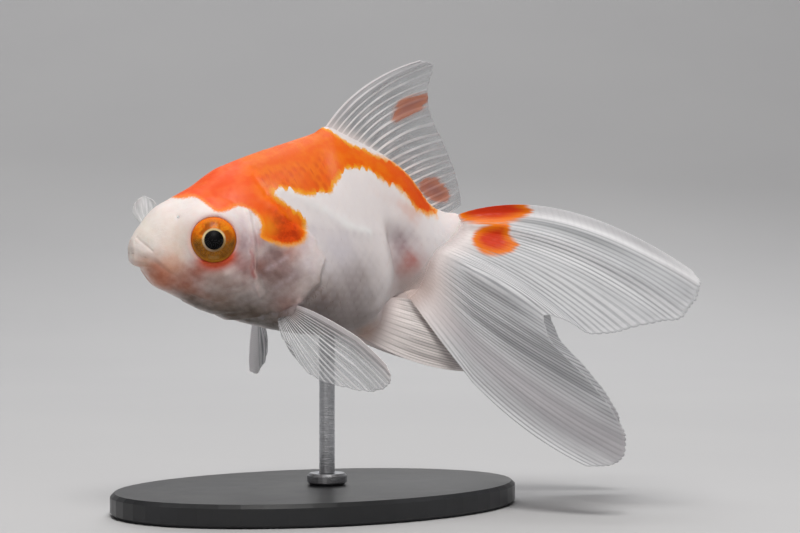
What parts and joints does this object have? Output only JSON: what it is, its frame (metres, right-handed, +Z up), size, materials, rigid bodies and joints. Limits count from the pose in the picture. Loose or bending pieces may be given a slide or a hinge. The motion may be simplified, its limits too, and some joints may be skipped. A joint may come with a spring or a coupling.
{
  "type": "goldfish model",
  "caption": "Short-bodied fancy goldfish with a double tail, turning to its left, held over a flat oval base by a thin rod.",
  "frame": {"origin": "centre of the flat bottom face of the stand's base", "axes": "+Z up; -X the way the head points; the fish's left side faces -Y and its tail is turned towards -Y"},
  "size_m": [0.0936, 0.0584, 0.072],
  "materials": {
    "white_skin": "pearly white scaled skin with orange-red markings on the crown, back and cheeks, moist sheen",
    "fin": "thin translucent whitish membrane over branching fin rays",
    "eye": "amber iris with a thin pale gold ring and a black pupil under a clear glossy cornea",
    "stand_black": "satin black acrylic with eased edges",
    "stand_steel": "fine brushed, satin"
  },
  "bodies": {
    "root": {"head": "white_skin", "upper_lip": "white_skin", "lower_jaw": "white_skin", "gill_cover_left": "white_skin", "gill_cover_right": "white_skin", "trunk": "white_skin", "tail_stalk": "white_skin", "dorsal_fin": "fin", "pectoral_fin_left": "fin", "pectoral_fin_right": "fin", "pelvic_fin_left": "fin", "pelvic_fin_right": "fin", "anal_fin_left": "fin", "anal_fin_right": "fin", "tail_upper_left": "fin", "tail_upper_right": "fin", "tail_lower_left": "fin", "tail_lower_right": "fin", "nostril_flap_left": "fin", "nostril_flap_right": "fin", "eye_left": "eye", "eye_right": "eye", "stand_base": "stand_black", "stand_collar": "stand_steel", "stand_rod": "stand_steel"}
  },
  "joints": []
}
